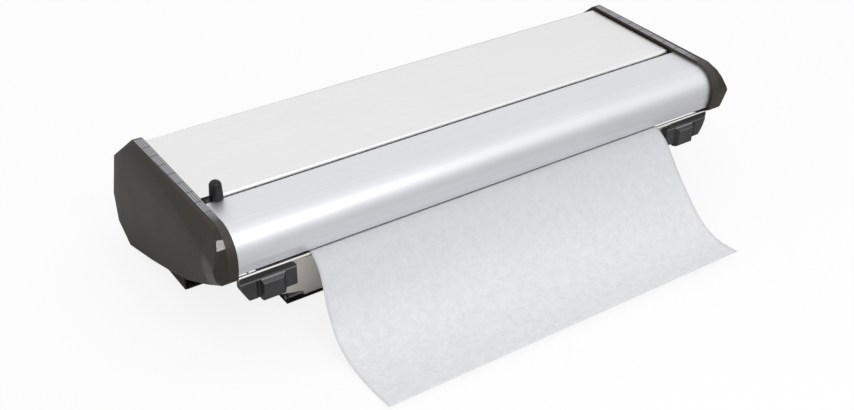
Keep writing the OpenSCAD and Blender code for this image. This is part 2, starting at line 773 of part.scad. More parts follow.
// Left grip: ribs, groove and face in side view, cut to its front outline
module grip_left() {
    step = rib_band / rib_n;
    lean = (grip_edge - fit_gap) / rib_band;
    ribs = [for (i = [0:rib_n - 1], q = [0, 1])
        let (drop = (i + q * rib_share) * step)
        [grip_face_y + (rib_band - drop) * lean, grip_top - drop]];
    cuts = [for (i = [0:rib_n - 1])
        let (drop = (i + 1) * step)
        [grip_face_y + rib_d + (rib_band - drop) * lean, grip_top - drop]];
    band = [for (i = [0:rib_n - 1]) each [ribs[2 * i], ribs[2 * i + 1], cuts[i]]];
    side = concat(
        [[flap_y(lip_z), lip_z], [lip_y, lip_z], [lip_y - lip_r, grip_top]],
        band,
        [
            [grip_face_y + groove_d, grip_top - rib_band - groove_h / 2],
            [grip_face_y + groove_d, grip_top - rib_band - groove_h],
            [grip_face_y, grip_shelf], [grip_face_y, grip_low + grip_front],
            [grip_face_y + grip_front, grip_low], [flap_y(grip_low), grip_low]
        ]
    );
    x0 = -half_w + grip_x0;
    x1 = x0 + grip_len;
    curl_a = asin((grip_h - grip_front) / grip_curl_r);
    curl_c = [x0 + grip_curl_r, grip_top - grip_front];
    outline = concat(
        [[x1 - grip_front, grip_top], [x0 + grip_front, grip_top]],
        arc(curl_c, grip_curl_r, 180, 180 + curl_a, 6),
        [[x1 - grip_front, grip_low], [x1, grip_low + grip_front],
            [x1, grip_top - rib_band], [x1 - rib_band, grip_top]]
    );
    difference() {
        intersection() {
            span(x0 - over, x1 + over)
                polygon(side);
            rotate([90, 0, 0]) linear_extrude(front_reach + over) polygon(outline);
        }
        bar(x0 - over, x1 + over, [lip_y, lip_z], lip_r + fit_gap);
        translate([x0 + grip_block_x[0] - valley_in, grip_face_y - valley_in, grip_low - over])
            cylinder(h = grip_shelf - groove_h - grip_low + over, r = valley_r, $fn = smooth_n);
    }
    grip_block(x0);
}

// Raised block on the grip's face, which fades into the face at its inner end
module grip_block(x0) {
    block_y = grip_face_y - grip_block_out;
    low = grip_low - grip_block_low;
    back = [flap_y(low), flap_y(grip_shelf)];
    side = [
        [back[1], grip_shelf - seat_gap], [grip_face_y - seat_gap, grip_shelf - seat_gap],
        [block_y, grip_shelf - grip_block_out], [block_y, low + grip_front],
        [block_y + grip_front, low], [back[0], low]
    ];
    x_left = x0 + grip_block_x[0];
    x_right = x0 + grip_block_x[1];
    plan = [
        [x_left - valley_in / 2, back[0]], [x_left - valley_in / 2, grip_face_y],
        [x_left, block_y], [x_right, block_y],
        [x_right + grip_block_fade, grip_face_y], [x_right + grip_block_fade, back[0]]
    ];
    intersection() {
        span(x0, x0 + grip_len)
            polygon(side);
        linear_extrude(deck_z) polygon(plan);
    }
}

module grip_with_holes() {
    difference() {
        grip_left();
        grip_rivet_places() cylinder(h = rivet_in + seat_gap, r = rivet_r + fit_gap, $fn = smooth_n);
    }
}

module left_grip() {
    color([0.22, 0.22, 0.23]) placed() grip_with_holes();
}

module right_grip() {
    color([0.22, 0.22, 0.23]) placed() at_right() grip_with_holes();
}

// Places across the width that the roll and its brackets share
core_half = paper_w / 2 + core_proud;
plug_out = core_half + plug_flange_t;
bracket_in = plug_out + bracket_gap;
bracket_rivet_x = bracket_in + bracket_t + bracket_foot * 0.55;
bracket_rivet_ys = [roll_y - bracket_half_d * 0.55, roll_y + bracket_half_d * 0.55];

// Bracket: upright with an open notch for the stub axle, and a foot on the tray
module roll_bracket_left() {
    top = roll_z + bracket_over;
    upright = [
        [roll_y - bracket_half_d, tray_top], [roll_y + bracket_half_d, tray_top],
        [roll_y + bracket_half_d, tray_top + bracket_half_d], [roll_y + bracket_top_half, roll_z],
        [roll_y + bracket_top_half, top], [roll_y - bracket_top_half, top],
        [roll_y - bracket_top_half, roll_z], [roll_y - bracket_half_d, tray_top + bracket_half_d]
    ];
    difference() {
        union() {
            span(-bracket_in - bracket_t, -bracket_in) polygon(upright);
            translate([-bracket_in - bracket_t - bracket_foot, roll_y - bracket_half_d, tray_top])
                cube([bracket_foot + bracket_t, 2 * bracket_half_d, bracket_t]);
        }
        bar(-bracket_in - bracket_t - over, -bracket_in + over, [roll_y, roll_z], stub_r + run_gap);
        span(-bracket_in - bracket_t - over, -bracket_in + over)
            translate([roll_y - stub_r - run_gap, roll_z])
                square([2 * (stub_r + run_gap), bracket_over + over]);
        for (y = bracket_rivet_ys) translate([-bracket_rivet_x, y, tray_top - over])
            cylinder(h = bracket_t + 2 * over, r = bracket_rivet_r + fit_gap, $fn = smooth_n);
    }
}

module left_roll_bracket() {
    color([0.7, 0.7, 0.68]) placed() roll_bracket_left();
}

module right_roll_bracket() {
    color([0.7, 0.7, 0.68]) placed() at_right() roll_bracket_left();
}

module bracket_rivets() {
    head_r = bracket_rivet_r * 1.8;
    color([0.6, 0.6, 0.6]) placed() both_ends() for (y = bracket_rivet_ys)
        translate([-bracket_rivet_x, y, 0]) {
            translate([0, 0, foot_h]) cylinder(h = sheet + bracket_t, r = bracket_rivet_r, $fn = smooth_n);
            translate([0, 0, tray_top + bracket_t]) cylinder(h = sheet, r = head_r, $fn = smooth_n);
        }
}

module roll_core() {
    color([0.7, 0.58, 0.42]) placed() difference() {
        bar(-core_half, core_half, [roll_y, roll_z], core_d / 2);
        bar(-core_half - over, core_half + over, [roll_y, roll_z], core_d / 2 - core_wall);
    }
}

module paper_roll() {
    color([0.93, 0.93, 0.92]) placed() difference() {
        bar(-paper_w / 2, paper_w / 2, [roll_y, roll_z], roll_d / 2);
        bar(-paper_w / 2 - over, paper_w / 2 + over, [roll_y, roll_z], core_d / 2 + fit_gap);
    }
}

// Plug: flange on the core's end, hollow spigot inside it, stub axle and head outside
module roll_plug_left() {
    spigot_r = core_d / 2 - core_wall - 2 * run_gap;
    half = [
        [0, plug_flange_t], [stub_r, plug_flange_t], [stub_r, plug_flange_t + stub_len - stub_head_t],
        [stub_head_r, plug_flange_t + stub_len - stub_head_t], [stub_head_r, plug_flange_t + stub_len],
        [0, plug_flange_t + stub_len]
    ];
    skirt = [
        [spigot_r - plug_wall, 0], [spigot_r - plug_wall, -plug_in],
        [spigot_r - plug_wall / 3, -plug_in], [spigot_r, -plug_in + plug_wall], [spigot_r, 0],
        [plug_flange_r, 0], [plug_flange_r, plug_flange_t * 0.6],
        [plug_flange_r - plug_flange_t * 0.4, plug_flange_t], [0, plug_flange_t], [0, 0]
    ];
    translate([-core_half, roll_y, roll_z]) rotate([0, -90, 0]) {
        rotate_extrude($fn = smooth_n) polygon(skirt);
        rotate_extrude($fn = smooth_n) polygon(half);
    }
}

module left_roll_plug() {
    color([0.15, 0.15, 0.16]) placed() roll_plug_left();
}

module right_roll_plug() {
    color([0.15, 0.15, 0.16]) placed() at_right() roll_plug_left();
}

// Thin sheet of paper between its left and right edge lines
module paper_web() {
    n = len(web_left);
    m = web_cols + 1;
    top_left = beside(web_left, web_t / 2);
    top_right = beside(web_right, web_t / 2);
    low_left = beside(web_left, -web_t / 2);
    low_right = beside(web_right, -web_t / 2);
    function grid(a, b) = [for (i = [0:n - 1], j = [0:web_cols])
        let (u = j / web_cols, p = a[i] * (1 - u) + b[i] * u)
        [-paper_w / 2 + u * paper_w, p[0], p[1]]];
    points = concat(grid(top_left, top_right), grid(low_left, low_right));
    low = n * m;
    top_faces = [for (i = [0:n - 2], j = [0:web_cols - 1]) let (a = i * m + j)
        each [[a, a + 1, a + m + 1], [a, a + m + 1, a + m]]];
    low_faces = [for (i = [0:n - 2], j = [0:web_cols - 1]) let (a = low + i * m + j)
        each [[a, a + m + 1, a + 1], [a, a + m, a + m + 1]]];
    side_faces = [for (i = [0:n - 2]) let (a = i * m, b = a + web_cols)
        each [[a, a + m, low + a + m], [a, low + a + m, low + a],
            [b, low + b, low + b + m], [b, low + b + m, b + m]]];
    end_faces = [for (j = [0:web_cols - 1]) let (a = j, b = (n - 1) * m + j)
        each [[a, low + a, low + a + 1], [a, low + a + 1, a + 1],
            [b, b + 1, low + b + 1], [b, low + b + 1, low + b]]];
    color([0.9, 0.91, 0.92]) placed()
        polyhedron(points = points, faces = concat(top_faces, low_faces, side_faces, end_faces));
}

left_end_cap();
right_end_cap();
left_side_frame();
right_side_frame();
front_profile();
rear_panel();
base_tray();
rubber_feet();
rear_lid();
lid_hinge_pins();
profile_screws();
cap_screws();
cutter_rail();
cutter_carriage();
cutter_blade();
blade_screw();
slider_knob();
front_flap();
flap_hinge_rod();
flap_springs();
left_grip();
right_grip();
grip_rivets();
left_roll_bracket();
right_roll_bracket();
bracket_rivets();
roll_core();
paper_roll();
left_roll_plug();
right_roll_plug();
paper_web();
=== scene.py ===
import json
import math

import bmesh
import bpy
from mathutils import Euler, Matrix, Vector, noise


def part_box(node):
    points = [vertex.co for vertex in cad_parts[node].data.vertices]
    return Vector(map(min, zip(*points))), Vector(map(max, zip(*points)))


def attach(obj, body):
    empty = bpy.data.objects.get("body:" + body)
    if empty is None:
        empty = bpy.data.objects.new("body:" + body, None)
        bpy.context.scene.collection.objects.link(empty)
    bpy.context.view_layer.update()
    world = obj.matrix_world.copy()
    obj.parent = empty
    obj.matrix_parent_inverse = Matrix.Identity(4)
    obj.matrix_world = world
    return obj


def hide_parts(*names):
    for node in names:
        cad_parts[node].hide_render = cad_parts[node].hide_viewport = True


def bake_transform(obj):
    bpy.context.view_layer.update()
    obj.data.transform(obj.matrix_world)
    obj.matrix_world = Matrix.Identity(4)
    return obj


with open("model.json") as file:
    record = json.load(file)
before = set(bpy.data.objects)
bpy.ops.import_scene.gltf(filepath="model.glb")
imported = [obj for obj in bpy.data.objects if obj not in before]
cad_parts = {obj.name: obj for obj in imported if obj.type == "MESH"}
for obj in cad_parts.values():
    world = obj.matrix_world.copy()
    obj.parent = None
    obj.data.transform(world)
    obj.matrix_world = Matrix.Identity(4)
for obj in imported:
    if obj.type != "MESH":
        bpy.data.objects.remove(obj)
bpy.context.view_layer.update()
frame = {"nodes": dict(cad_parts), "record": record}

# Lengths are in metres, unless a note gives another unit
MM = 0.001
NODES = frame["nodes"]
RECORD = frame["record"]
BODY_OF = {node: body for body, members in RECORD["behaviour"]["bodies"].items() for node in members}
SLOT_OF = {part["node"]: part["material_slot"] for part in RECORD["subparts"]}


def add_object(name, data):
    made = bpy.data.objects.new(name, data)
    bpy.context.scene.collection.objects.link(made)
    return made


def mesh_from(bm, name):
    """A mesh from a bmesh, which is freed."""
    mesh = bpy.data.meshes.new(name)
    bm.to_mesh(mesh)
    bm.free()
    return mesh


def middle(node):
    low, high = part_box(node)
    return (Vector(low) + Vector(high)) / 2


# ---- Camera: its place, its turn and its lens, fitted to the body's edges for a frame 854 pixels wide

CAMERA_PLACE = Vector((-0.5788, -0.7844, 0.6661))
CAMERA_TURN_DEG = (56.855, -0.771, -34.062)
FOCAL_PX = 1240
FRAME_W_PX = 854
SENSOR_MM = 36
NEAR, FAR = 0.01, 50


def make_camera():
    data = bpy.data.cameras.new("camera")
    data.sensor_fit = "HORIZONTAL"
    data.sensor_width = SENSOR_MM
    data.lens = FOCAL_PX * SENSOR_MM / FRAME_W_PX
    data.clip_start, data.clip_end = NEAR, FAR
    camera = add_object("camera", data)
    camera.location = CAMERA_PLACE
    camera.rotation_euler = Euler([math.radians(a) for a in CAMERA_TURN_DEG], "XYZ")
    bpy.context.scene.camera = camera


# ---- Material tools

def linear(r, g, b):
    """An sRGB colour, 0 to 255, as linear RGBA."""
    def one(v):
        v = v / 255
        return v / 12.92 if v <= 0.04045 else ((v + 0.055) / 1.055) ** 2.4
    return (one(r), one(g), one(b), 1)


SOCKETS = {
    "metallic": "Metallic", "rough": "Roughness", "specular": "Specular IOR Level", "sheen": "Sheen Weight",
}
MIX_INPUTS = {"FLOAT": (0, 2, 3), "RGBA": (0, 6, 7)}
MIX_OUTPUT = {"FLOAT": 0, "RGBA": 2}


class Finish:
    """A material and short ways to add nodes to it."""

    def __init__(self, name, **values):
        self.material = bpy.data.materials.new(name)
        self.material.use_nodes = True
        self.tree = self.material.node_tree
        self.tree.nodes.clear()
        self.output = self.tree.nodes.new("ShaderNodeOutputMaterial")
        self.shader = self.tree.nodes.new("ShaderNodeBsdfPrincipled")
        self.link(self.shader.outputs[0], self.output.inputs["Surface"])
        self.coords = self.tree.nodes.new("ShaderNodeTexCoord")
        for key, value in values.items():
            self.shader.inputs[SOCKETS[key]].default_value = value

    def node(self, kind, **values):
        made = self.tree.nodes.new(kind)
        for key, value in values.items():
            setattr(made, key, value)
        return made

    def link(self, out, into):
        self.tree.links.new(out, into)

    def feed(self, key, out):
        """A value of the shader that changes over the surface."""
        self.link(out, self.shader.inputs[SOCKETS[key]])

    def stretched(self, scale=(1, 1, 1), shift=(0, 0, 0)):
        """Object coordinates, moved by -shift and then scaled differently along each axis."""
        mapping = self.node("ShaderNodeMapping")
        mapping.inputs["Scale"].default_value = scale
        mapping.inputs["Location"].default_value = [-a * b for a, b in zip(scale, shift)]
        self.link(self.coords.outputs["Object"], mapping.inputs["Vector"])
        return mapping.outputs["Vector"]

    def noise(self, scale, detail=3, rough=0.55, stretch=(1, 1, 1)):
        made = self.node("ShaderNodeTexNoise")
        made.inputs["Scale"].default_value = scale
        made.inputs["Detail"].default_value = detail
        made.inputs["Roughness"].default_value = rough
        self.link(self.stretched(stretch), made.inputs["Vector"])
        return made.outputs["Fac"]

    def axes(self, vector=None):
        """x, y and z of a vector, or of the object coordinates."""
        made = self.node("ShaderNodeSeparateXYZ")
        self.link(vector if vector is not None else self.coords.outputs["Object"], made.inputs[0])
        return made.outputs[0], made.outputs[1], made.outputs[2]

    def facing(self, kind="True Normal"):
        """x, y and z of the surface's own direction."""
        return self.axes(self.node("ShaderNodeNewGeometry").outputs[kind])

    def math(self, operation, a, b=None):
        made = self.node("ShaderNodeMath", operation=operation)
        for socket, value in zip(made.inputs, (a, b)):
            if value is None:
                continue
            if isinstance(value, (int, float)):
                socket.default_value = value
            else:
                self.link(value, socket)
        return made.outputs[0]

    def times(self, a, b):
        return self.math("MULTIPLY", a, b)

    def above(self, value, level):
        """1 where value is over level, else 0."""
        return self.math("GREATER_THAN", value, level)

    def below(self, value, level):
        """1 where value is under level, else 0."""
        return self.math("LESS_THAN", value, level)

    def waves(self, value, pitch):
        """0 at every multiple of pitch, and 1 halfway between."""
        return self.math("ABSOLUTE", self.math("SINE", self.times(value, math.pi / pitch)))

    def span(self, value, low, high, start=0.3, stop=0.7):
        """value, spread from start..stop to low..high."""
        made = self.node("ShaderNodeMapRange")
        for key, number in (("From Min", start), ("From Max", stop), ("To Min", low), ("To Max", high)):
            made.inputs[key].default_value = number
        self.link(value, made.inputs["Value"])
        return made.outputs["Result"]

    def blend(self, factor, a, b, kind="FLOAT"):
        """a where factor is 0, b where it is 1; factor, a and b are numbers, colours or sockets."""
        made = self.node("ShaderNodeMix", data_type=kind)
        for index, value in zip(MIX_INPUTS[kind], (factor, a, b)):
            if isinstance(value, bpy.types.NodeSocket):
                self.link(value, made.inputs[index])
            else:
                made.inputs[index].default_value = value
        return made.outputs[MIX_OUTPUT[kind]]

    def colour(self, value, first, second):
        self.link(self.blend(value, first, second, "RGBA"), self.shader.inputs["Base Color"])

    def bump(self, value, depth, under=None):
        made = self.node("ShaderNodeBump")
        made.inputs["Distance"].default_value = depth
        made.inputs["Strength"].default_value = 1
        self.link(value, made.inputs["Height"])
        if under is not None:
            self.link(under, made.inputs["Normal"])
        self.link(made.outputs["Normal"], self.shader.inputs["Normal"])
        return made.outputs["Normal"]


# ---- Finishes

# Noises that more than one finish uses
CLOUD = {"detail": 4, "rough": 0.6}
SPECK = {"detail": 2, "rough": 0.5}
BRUSH = {"detail": 4, "rough": 0.7, "stretch": (0.012, 1, 1)}
BRUSH_CLOUD = {"scale": 14, "detail": 5, "rough": 0.6}
FIBRES = {"scale": 420, "detail": 8, "rough": 0.75, "stretch": (1, 0.8, 1)}
FIBRE_SPAN = {"start": 0.36, "stop": 0.64}
BRUSH_LINES = 900
BRUSH_CLOUDING = 0.35  # the clouds' share in the tone; the lines have the rest
BRUSH_DEPTH = 0.01 * MM


def brushed(f, lines):
    """Fine long lines along the width, faint clouding, and the tone that the two give together."""
    fine = f.noise(scale=lines, **BRUSH)
    cloud = f.noise(**BRUSH_CLOUD)
    f.bump(fine, depth=BRUSH_DEPTH)
    return cloud, f.span(f.blend(BRUSH_CLOUDING, fine, cloud), 0, 1)


def brushed_metal(name, first, second, rough, spread=0.05, lines=BRUSH_LINES):
    """Sheet metal brushed along the width, with a few rub marks."""
    f = Finish(name, metallic=1)
    cloud, tone = brushed(f, lines)
    rub = f.noise(scale=160, detail=3, rough=0.7, stretch=(0.15, 1, 1))
    marks = f.span(rub, 0, 0.05, start=0.55, stop=0.75)
    f.colour(tone, first, second)
    f.feed("rough", f.math("ADD", f.span(cloud, rough - spread, rough + spread), marks))
    return f.material


LIP_FROM_Z, LIP_FULL_Z = 76.5 * MM, 78.5 * MM  # heights at which the lip's look starts and is full
LIP_ROUGH = 0.16
FLAP_METALLIC = 0.25  # under the lip


def flap_metal(name, first, second, lip_tone, rough, spread=0.04):
    """The flap's satin steel, and the polished roll of its upper lip."""
    f = Finish(name)
    cloud, tone = brushed(f, BRUSH_LINES)
    lip = f.span(f.axes()[2], 0, 1, start=LIP_FROM_Z, stop=LIP_FULL_Z)
    f.colour(lip, f.blend(tone, first, second, "RGBA"), lip_tone)
    f.feed("metallic", f.blend(lip, FLAP_METALLIC, 1))
    f.feed("rough", f.blend(lip, f.span(cloud, rough - spread, rough + spread), LIP_ROUGH))
    return f.material


def anodised(name, first, second, rough, spread=0.02):
    """Anodised aluminium: an even, very fine matt grain drawn along the extrusion, with faint die lines."""
    f = Finish(name, metallic=1)
    grain = f.noise(scale=5200, detail=2, rough=0.5, stretch=(0.35, 1, 1))
    die = f.noise(scale=420, detail=3, rough=0.6, stretch=(0.002, 1, 1))
    cloud = f.noise(scale=9, **CLOUD)
    f.colour(f.span(f.blend(0.5, die, cloud), 0, 1), first, second)
    f.feed("rough", f.span(cloud, rough - spread, rough + spread))
    f.bump(grain, depth=0.004 * MM, under=f.bump(die, depth=0.006 * MM))
    return f.material


def rubbed(f, rough):
    """The slow shade changes of moulded plastic, where it is also rubbed smoother or left rougher."""
    cloud = f.noise(scale=22, **CLOUD)
    f.feed("rough", f.span(cloud, rough - 0.04, rough + 0.05))
    return cloud


def moulded(name, first, second, rough, grain=2600, specular=0.5):
    """Moulded plastic: a fine spark-eroded grain, slow shade changes and slightly rubbed sheen."""
    f = Finish(name, specular=specular)
    f.colour(f.span(rubbed(f, rough), 0, 1), first, second)
    f.bump(f.noise(scale=grain, **SPECK), depth=0.03 * MM)
    return f.material


ROLL_AT = middle("roll_core")
DECK_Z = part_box("front_profile")[1][2]
NOSE_R = 22 * MM
NOSE_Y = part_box("front_profile")[0][1] + NOSE_R
CAP_INNER_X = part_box("right_end_cap")[0][0]
# The caps' rim band on the flat top, with a painted sheen: a pale tone that stands in for the overhead light
# the level band reflects
FLAT_UP = 0.9995  # a face that looks up more than this is level
BAND_RISE = (-2 * MM, 22 * MM)  # behind the nose's middle: where the painted sheen starts and is full
RIB_PITCH, RIB_GROOVE = 2.1 * MM, 0.34  # a groove is where the ribs' wave, 0 to 1, is under the second number
CROSS_PITCH, CROSS_GROOVE = 17 * MM, 0.06  # the second number is the groove's share of the pitch
GROOVE_TONE = 0.15  # the share of the painted sheen that is left in a groove
GROOVE_DEPTH = 0.15 * MM
# The band round the nose: each pair is for the top of the nose and for the end of the turn
BAND_TURN = math.radians(82)
BAND_W = (6.0 * MM, 8.6 * MM)
NOSE_SHEEN_FADE = (0.16, 0.04)  # the share of the painted sheen, which fades as the band turns down round the nose: painted shade
BAND_SPECULAR = 0.6  # the band's share of the face's specular level
# The facets get smoother from the nose's middle to the front: by how much, and over how many nose radii
NOSE_POLISH, NOSE_POLISH_WAY = 0.3, 0.4


def cap_plastic(name, first, second, band_sheen_tones, rough, specular):
    """The caps' moulded plastic: dark facets, and a rim band with fine ribs and a few cross lines, painted
    paler as a sheen of the overhead light (painted sheen). The band runs along the flat top and round the
    nose, where it has no ribs, widens and its painted sheen almost fades as the band turns down (painted
    shade)."""
    f = Finish(name)
    cloud = f.noise(scale=16, **CLOUD)
    speck = f.noise(scale=2400, **SPECK)
    x, y, z = f.axes()
    flat = f.times(f.above(f.facing()[2], FLAT_UP), f.above(z, DECK_Z))
    flat = f.times(flat, f.span(y, 0, 1, start=NOSE_Y + BAND_RISE[0], stop=NOSE_Y + BAND_RISE[1]))
    turned = f.math("ARCTAN2", f.math("SUBTRACT", NOSE_Y, y), f.math("SUBTRACT", z, DECK_Z - NOSE_R))
    out = f.math("SUBTRACT", f.math("ABSOLUTE", x), CAP_INNER_X)
    rim = f.times(f.below(out, f.span(turned, *BAND_W, start=0, stop=BAND_TURN)), f.above(turned, 0))
    band = f.math("MAXIMUM", flat, f.times(rim, f.span(turned, *NOSE_SHEEN_FADE, start=0, stop=BAND_TURN)))
    ribs = f.below(f.waves(x, RIB_PITCH), RIB_GROOVE)
    cross = f.below(f.math("FRACT", f.times(y, 1 / CROSS_PITCH)), CROSS_GROOVE)
    groove = f.times(flat, f.math("MAXIMUM", ribs, cross))
    plain = f.blend(f.span(cloud, 0, 1), first, second, "RGBA")
    paler = f.blend(f.span(speck, 0, 1), *band_sheen_tones, "RGBA")
    # Painted sheen on the band: the pale tone stands in for reflected overhead light, is less in the grooves
    # and fades round the nose
    f.colour(f.times(band, f.blend(groove, 1, GROOVE_TONE)), plain, paler)
    polished = f.span(y, rough - NOSE_POLISH, rough, start=NOSE_Y - NOSE_R * NOSE_POLISH_WAY, stop=NOSE_Y)
    f.feed("rough", f.math("ADD", f.blend(rim, polished, rough), f.span(cloud, -0.03, 0.04)))
    f.feed("specular", f.blend(rim, specular, specular * BAND_SPECULAR))
    f.bump(f.times(groove, -1), depth=GROOVE_DEPTH, under=f.bump(speck, depth=0.02 * MM))
    return f.material


LEDGE_UP = 0.5  # a face of a grip that looks up more than this is on its ledge
LEDGE_PITCH, LEDGE_RIB = 3.4 * MM, 0.88  # a rib is where the wave, 0 to 1, is over the second number
GRIP_SHADES, GRIP_RIB_HIGHLIGHT = 0.1, 0.8  # what the slow tone changes and the ribs' painted highlight add towards the second colour


def grip_plastic(name, first, second, rough):
    """The grips' plastic: slightly rubbed, with fine ribs along the top ledge whose crests are painted paler
    where the light catches them (painted highlight).
    """
    f = Finish(name, specular=0.5)
    cloud = rubbed(f, rough)
    ribs = f.times(f.above(f.facing()[2], LEDGE_UP), f.above(f.waves(f.axes()[1], LEDGE_PITCH), LEDGE_RIB))
    # Painted highlight: paler lines on the crests of the ledge's ribs, where they catch the light
    f.colour(f.math("ADD", f.span(cloud, 0, GRIP_SHADES), f.times(ribs, GRIP_RIB_HIGHLIGHT)), first, second)
    f.bump(ribs, depth=0.2 * MM, under=f.bump(f.noise(scale=3200, **SPECK), depth=0.03 * MM))
    return f.material


def powder_coat(name, first, second):
    """Powder coat: a soft orange-peel surface with a few paler rubbed spots."""
    f = Finish(name, specular=0.4)
    peel = f.noise(scale=520, detail=2, rough=0.45)
    worn = f.noise(scale=35, detail=5, rough=0.65)
    f.colour(f.span(worn, 0, 1, start=0.4, stop=0.8), first, second)
    f.feed("rough", f.span(peel, 0.42, 0.54))
    f.bump(peel, depth=0.06 * MM)
    return f.material


SHADE_LOW_Z, SHADE_HIGH_Z = 2 * MM, 84 * MM  # heights at which the sheet's painted shade starts and is full
SHADE_MOST = 0.48


def sheet_paper(name, first, second, shade):
    """Baking paper: cloudy pulp with fine fibres and a faint wax sheen. Its colour is painted darker with
    height, from the first two colours near the white table towards shade in front of the dark chamber:
    painted shade for the light that comes through the thin sheet."""
    f = Finish(name, rough=0.55, specular=0.3, sheen=0.05)
    fibres = f.noise(**FIBRES)
    clouds = f.noise(scale=150, detail=4, rough=0.65)
    pulp = f.blend(f.span(f.blend(0.5, fibres, clouds), 0, 1, **FIBRE_SPAN), first, second, "RGBA")
    # Painted shade: the colour darkens with height, standing in for less light coming through the thin sheet
    f.colour(f.span(f.axes()[2], 0, SHADE_MOST, start=SHADE_LOW_Z, stop=SHADE_HIGH_Z), pulp, shade)
    f.bump(fibres, depth=0.03 * MM)
    return f.material


ROLL_END = 0.9  # a face that looks along x more than this is on an end of the roll
RING_TONE = 0.35  # the share of the tone that is left between two turns


def wound_paper(name, first, second):
    """The roll: the same paper, with the edges of its turns as fine rings on its two ends."""
    f = Finish(name, rough=0.6, specular=0.3)
    fibres = f.noise(**FIBRES)
    turns = f.node("ShaderNodeTexWave", wave_type="RINGS", rings_direction="X")
    for key, number in (("Scale", 620), ("Distortion", 1.2), ("Detail", 2)):
        turns.inputs[key].default_value = number
    f.link(f.stretched(shift=(0, ROLL_AT.y, ROLL_AT.z)), turns.inputs["Vector"])
    end = f.above(f.math("ABSOLUTE", f.facing("Normal")[0]), ROLL_END)
    rings = f.times(end, turns.outputs["Fac"])
    tone = f.span(fibres, 0.4, 1, **FIBRE_SPAN)
    f.colour(f.times(tone, f.blend(rings, 1, RING_TONE)), first, second)
    f.bump(rings, depth=0.12 * MM, under=f.bump(fibres, depth=0.04 * MM))
    return f.material


SEAM_LEAD, SEAM_SHARE = 62 * MM, 0.018  # the way along x of one winding, and the seam's share of it
SEAM_TONE = 0.2  # the share of the tone that is left in the seam


def cardboard(name, first, second):
    """Core board: grey-brown fibres and the seam of its spiral winding."""
    f = Finish(name, rough=0.85, specular=0.2)
    fibre = f.noise(scale=180, detail=6, rough=0.7, stretch=(0.4, 1, 1))
    x, y, z = f.axes(f.stretched(shift=(0, ROLL_AT.y, ROLL_AT.z)))
    turn = f.times(f.math("ARCTAN2", z, y), 1 / math.tau)
    seam = f.below(f.math("FRACT", f.math("ADD", turn, f.times(x, 1 / SEAM_LEAD))), SEAM_SHARE)
    f.colour(f.times(f.span(fibre, 0, 1), f.blend(seam, 1, SEAM_TONE)), first, second)
    f.bump(f.times(seam, -1), depth=0.2 * MM, under=f.bump(fibre, depth=0.1 * MM))
    return f.material


def rubber(name, first, second):
    """Matt rubber with a coarse grain and a little dust."""
    f = Finish(name, specular=0.3)
    grain = f.noise(scale=900, detail=3, rough=0.6)
    f.colour(f.span(f.noise(scale=40, **CLOUD), 0, 1), first, second)
    f.feed("rough", f.span(grain, 0.62, 0.78))
    f.bump(grain, depth=0.08 * MM)
    return f.material


# Slot: its finish, its two sRGB tones, and what else the finish takes
FINISHES = {
    # The caps' band tones are a painted sheen: the pale tone of overhead light on the level rim band
    "cap_plastic": (cap_plastic, (37, 31, 22), (43, 37, 27), {
        "band_sheen_tones": (linear(150, 150, 155), linear(164, 164, 169)), "rough": 0.46, "specular": 0.42}),
    "profile_aluminium": (anodised, (231, 232, 235), (238, 239, 242), {"rough": 0.46}),
    "lid_steel": (brushed_metal, (241, 241, 241), (248, 248, 248), {
        "rough": 0.33, "spread": 0.03, "lines": 720}),
    "flap_steel": (flap_metal, (242, 237, 230), (252, 248, 242), {
        "lip_tone": linear(236, 234, 231), "rough": 0.46}),
    "chassis_steel": (brushed_metal, (196, 194, 190), (212, 210, 207), {"rough": 0.32}),
    "chassis_coat": (powder_coat, (38, 33, 28), (52, 46, 39), {}),
    # The grips' second tone is mostly the painted highlight on the ledge ribs
    "grip_plastic": (grip_plastic, (33, 32, 33), (150, 149, 152), {"rough": 0.34}),
    "knob_plastic": (moulded, (17, 18, 20), (22, 23, 25), {
        "rough": 0.36, "grain": 2000, "specular": 0.36}),
    "carriage_plastic": (moulded, (30, 30, 32), (38, 38, 40), {"rough": 0.36}),
    "blade_steel": (brushed_metal, (205, 207, 210), (228, 230, 233), {
        "rough": 0.16, "spread": 0.03, "lines": 1800}),
    "rail_steel": (brushed_metal, (200, 201, 203), (222, 223, 225), {
        "rough": 0.18, "spread": 0.03, "lines": 1350}),
    "fastener_steel": (brushed_metal, (165, 165, 166), (192, 192, 193), {"rough": 0.30, "lines": 1800}),
    "spring_steel": (brushed_metal, (140, 140, 142), (170, 170, 172), {"rough": 0.30, "lines": 1800}),
    "foot_rubber": (rubber, (24, 24, 25), (40, 40, 41), {}),
    "plug_plastic": (moulded, (34, 34, 37), (44, 44, 47), {"rough": 0.34}),
    "cardboard": (cardboard, (136, 114, 86), (178, 156, 124), {}),
    "paper": (wound_paper, (206, 208, 211), (238, 239, 241), {}),
}
MATERIALS = {slot: finish(slot, linear(*first), linear(*second), **more)
             for slot, (finish, first, second, more) in FINISHES.items()}
# The web paper's third colour is its painted shade
WEB_PAPER = sheet_paper("web_paper", linear(221, 222, 225), linear(235, 236, 238), linear(168, 170, 176))


def dress_nodes():
    """Every CAD node takes the material of its slot."""
    for node, slot in SLOT_OF.items():
        NODES[node].data.materials.clear()
        NODES[node].data.materials.append(MATERIALS[slot])


# ---- Rigid pieces, in mm and degrees

WELD = 0.01  # points of a CAD mesh nearer than this are one
CAP_WELD = 0.06
SAME_POINT = 0.002  # the same for a mesh with rounded edges
ONE_FACE_DEG = 0.6  # faces that differ by less than this become one
SMOOTH_DEG = 34  # edges flatter than this are shaded smooth
NORMAL_WEIGHT = 60
